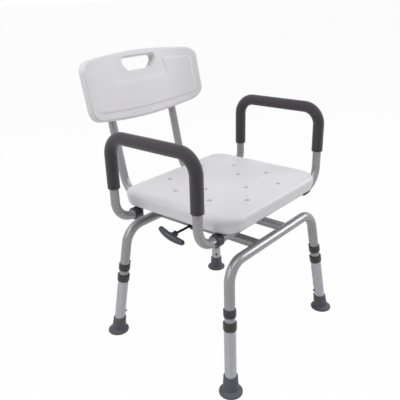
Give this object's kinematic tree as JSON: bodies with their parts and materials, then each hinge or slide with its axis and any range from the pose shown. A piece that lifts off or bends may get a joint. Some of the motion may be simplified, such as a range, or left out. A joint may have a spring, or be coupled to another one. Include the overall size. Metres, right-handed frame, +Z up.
{
  "type": "swivel shower chair",
  "caption": "Swivelling shower chair with lift-off back, lift-off padded arms, a T-handle seat lock and splayed telescopic legs on rubber feet.",
  "frame": {"origin": "on the floor under the middle of the chair's footprint, seen from above", "axes": "+Z up, the chair faces -Y, its left side is +X"},
  "size_m": [0.543, 0.538, 0.7416],
  "materials": {
    "aluminium": "satin anodised tube",
    "white_plastic": "fine-grained white blow-moulded polyethylene",
    "foam": "dark closed-cell foam grip",
    "collar_plastic": "charcoal moulded plastic",
    "foot_rubber": "grey matt rubber",
    "handle_plastic": "dark slate moulded plastic",
    "steel": "pressed and zinc-plated steel",
    "black_steel": "black coated steel rod",
    "glide_plastic": "off-white low-friction plastic",
    "pin_metal": "darkened spring steel"
  },
  "bodies": {
    "base": {"front_frame": "aluminium", "rear_frame": "aluminium", "left_rail": "aluminium", "right_rail": "aluminium", "index_plate": "steel", "glide_ring": "glide_plastic", "retaining_ring": "steel", "front_left_joint_sleeve": "collar_plastic", "front_right_joint_sleeve": "collar_plastic", "rear_left_joint_sleeve": "collar_plastic", "rear_right_joint_sleeve": "collar_plastic"},
    "front_left_leg": {"front_left_leg_tube": "aluminium"},
    "front_left_height": {"front_left_height_tube": "aluminium", "front_left_height_bush": "collar_plastic", "front_left_foot": "foot_rubber"},
    "front_left_frame_button": {"front_left_frame_button": "pin_metal"},
    "front_left_height_button": {"front_left_height_button": "pin_metal"},
    "front_right_leg": {"front_right_leg_tube": "aluminium"},
    "front_right_height": {"front_right_height_tube": "aluminium", "front_right_height_bush": "collar_plastic", "front_right_foot": "foot_rubber"},
    "front_right_frame_button": {"front_right_frame_button": "pin_metal"},
    "front_right_height_button": {"front_right_height_button": "pin_metal"},
    "rear_left_leg": {"rear_left_leg_tube": "aluminium"},
    "rear_left_height": {"rear_left_height_tube": "aluminium", "rear_left_height_bush": "collar_plastic", "rear_left_foot": "foot_rubber"},
    "rear_left_frame_button": {"rear_left_frame_button": "pin_metal"},
    "rear_left_height_button": {"rear_left_height_button": "pin_metal"},
    "rear_right_leg": {"rear_right_leg_tube": "aluminium"},
    "rear_right_height": {"rear_right_height_tube": "aluminium", "rear_right_height_bush": "collar_plastic", "rear_right_foot": "foot_rubber"},
    "rear_right_frame_button": {"rear_right_frame_button": "pin_metal"},
    "rear_right_height_button": {"rear_right_height_button": "pin_metal"},
    "seat": {"seat_panel": "white_plastic", "front_cross_tube": "aluminium", "rear_cross_bar": "aluminium", "left_side_tube": "aluminium", "right_side_tube": "aluminium", "swivel_pan": "steel", "lock_guide": "collar_plastic", "lock_spring": "steel", "left_front_collar": "collar_plastic", "left_rear_collar": "collar_plastic", "right_front_collar": "collar_plastic", "right_rear_collar": "collar_plastic"},
    "lock": {"lock_handle": "handle_plastic", "lock_rod": "black_steel"},
    "left_arm": {"left_arm_tube": "aluminium", "left_arm_grip": "foam"},
    "left_arm_button": {"left_arm_button": "pin_metal"},
    "right_arm": {"right_arm_tube": "aluminium", "right_arm_grip": "foam"},
    "right_arm_button": {"right_arm_button": "pin_metal"},
    "back": {"back_panel": "white_plastic", "left_back_tube": "aluminium", "right_back_tube": "aluminium"},
    "left_back_button": {"left_back_button": "pin_metal"},
    "right_back_button": {"right_back_button": "pin_metal"}
  },
  "joints": [
    {"name": "front_left_leg_pull", "type": "slide", "parent": "base", "child": "front_left_leg", "axis": [0.1224, -0.1031, -0.9871], "range_m": [0, 0.045]},
    {"name": "front_left_height_slide", "type": "slide", "parent": "front_left_leg", "child": "front_left_height", "axis": [0.1224, -0.1031, -0.9871], "range_m": [0, 0.0762]},
    {"name": "front_left_frame_button_press", "type": "slide", "parent": "base", "child": "front_left_frame_button", "axis": [0.7551, -0.6358, 0.16], "range_m": [0, 0.0046], "stiffness_N_per_m": 200, "springref_m": -0.003},
    {"name": "front_left_height_button_press", "type": "slide", "parent": "front_left_height", "child": "front_left_height_button", "axis": [0.7551, -0.6358, 0.16], "range_m": [0, 0.0046], "stiffness_N_per_m": 200, "springref_m": -0.003},
    {"name": "front_right_leg_pull", "type": "slide", "parent": "base", "child": "front_right_leg", "axis": [-0.1224, -0.1031, -0.9871], "range_m": [0, 0.045]},
    {"name": "front_right_height_slide", "type": "slide", "parent": "front_right_leg", "child": "front_right_height", "axis": [-0.1224, -0.1031, -0.9871], "range_m": [0, 0.0762]},
    {"name": "front_right_frame_button_press", "type": "slide", "parent": "base", "child": "front_right_frame_button", "axis": [-0.7551, -0.6358, 0.16], "range_m": [0, 0.0046], "stiffness_N_per_m": 200, "springref_m": -0.003},
    {"name": "front_right_height_button_press", "type": "slide", "parent": "front_right_height", "child": "front_right_height_button", "axis": [-0.7551, -0.6358, 0.16], "range_m": [0, 0.0046], "stiffness_N_per_m": 200, "springref_m": -0.003},
    {"name": "rear_left_leg_pull", "type": "slide", "parent": "base", "child": "rear_left_leg", "axis": [0.1224, 0.1031, -0.9871], "range_m": [0, 0.045]},
    {"name": "rear_left_height_slide", "type": "slide", "parent": "rear_left_leg", "child": "rear_left_height", "axis": [0.1224, 0.1031, -0.9871], "range_m": [0, 0.0762]},
    {"name": "rear_left_frame_button_press", "type": "slide", "parent": "base", "child": "rear_left_frame_button", "axis": [0.7551, 0.6358, 0.16], "range_m": [0, 0.0046], "stiffness_N_per_m": 200, "springref_m": -0.003},
    {"name": "rear_left_height_button_press", "type": "slide", "parent": "rear_left_height", "child": "rear_left_height_button", "axis": [0.7551, 0.6358, 0.16], "range_m": [0, 0.0046], "stiffness_N_per_m": 200, "springref_m": -0.003},
    {"name": "rear_right_leg_pull", "type": "slide", "parent": "base", "child": "rear_right_leg", "axis": [-0.1224, 0.1031, -0.9871], "range_m": [0, 0.045]},
    {"name": "rear_right_height_slide", "type": "slide", "parent": "rear_right_leg", "child": "rear_right_height", "axis": [-0.1224, 0.1031, -0.9871], "range_m": [0, 0.0762]},
    {"name": "rear_right_frame_button_press", "type": "slide", "parent": "base", "child": "rear_right_frame_button", "axis": [-0.7551, 0.6358, 0.16], "range_m": [0, 0.0046], "stiffness_N_per_m": 200, "springref_m": -0.003},
    {"name": "rear_right_height_button_press", "type": "slide", "parent": "rear_right_height", "child": "rear_right_height_button", "axis": [-0.7551, 0.6358, 0.16], "range_m": [0, 0.0046], "stiffness_N_per_m": 200, "springref_m": -0.003},
    {"name": "seat_swivel", "type": "hinge", "parent": "base", "child": "seat", "pos_m": [0, -0.04267, 0.3262], "axis": [0, 0, 1], "continuous": true},
    {"name": "lock_pull", "type": "slide", "parent": "seat", "child": "lock", "axis": [-1, 0, 0], "range_m": [0, 0.015], "stiffness_N_per_m": 400, "springref_m": -0.008},
    {"name": "left_arm_slide", "type": "slide", "parent": "seat", "child": "left_arm", "axis": [1, 0, 0], "range_m": [0, 0.03]},
    {"name": "left_arm_button_press", "type": "slide", "parent": "left_arm", "child": "left_arm_button", "axis": [0, 1, 0], "range_m": [0, 0.0042], "stiffness_N_per_m": 200, "springref_m": -0.003},
    {"name": "right_arm_slide", "type": "slide", "parent": "seat", "child": "right_arm", "axis": [-1, 0, 0], "range_m": [0, 0.03]},
    {"name": "right_arm_button_press", "type": "slide", "parent": "right_arm", "child": "right_arm_button", "axis": [0, 1, 0], "range_m": [0, 0.0042], "stiffness_N_per_m": 200, "springref_m": -0.003},
    {"name": "back_slide", "type": "slide", "parent": "seat", "child": "back", "axis": [0, 1, 0], "range_m": [0, 0.105]},
    {"name": "left_back_button_press", "type": "slide", "parent": "seat", "child": "left_back_button", "axis": [0, 0, 1], "range_m": [0, 0.0046], "stiffness_N_per_m": 200, "springref_m": -0.003},
    {"name": "right_back_button_press", "type": "slide", "parent": "seat", "child": "right_back_button", "axis": [0, 0, 1], "range_m": [0, 0.0046], "stiffness_N_per_m": 200, "springref_m": -0.003}
  ]
}
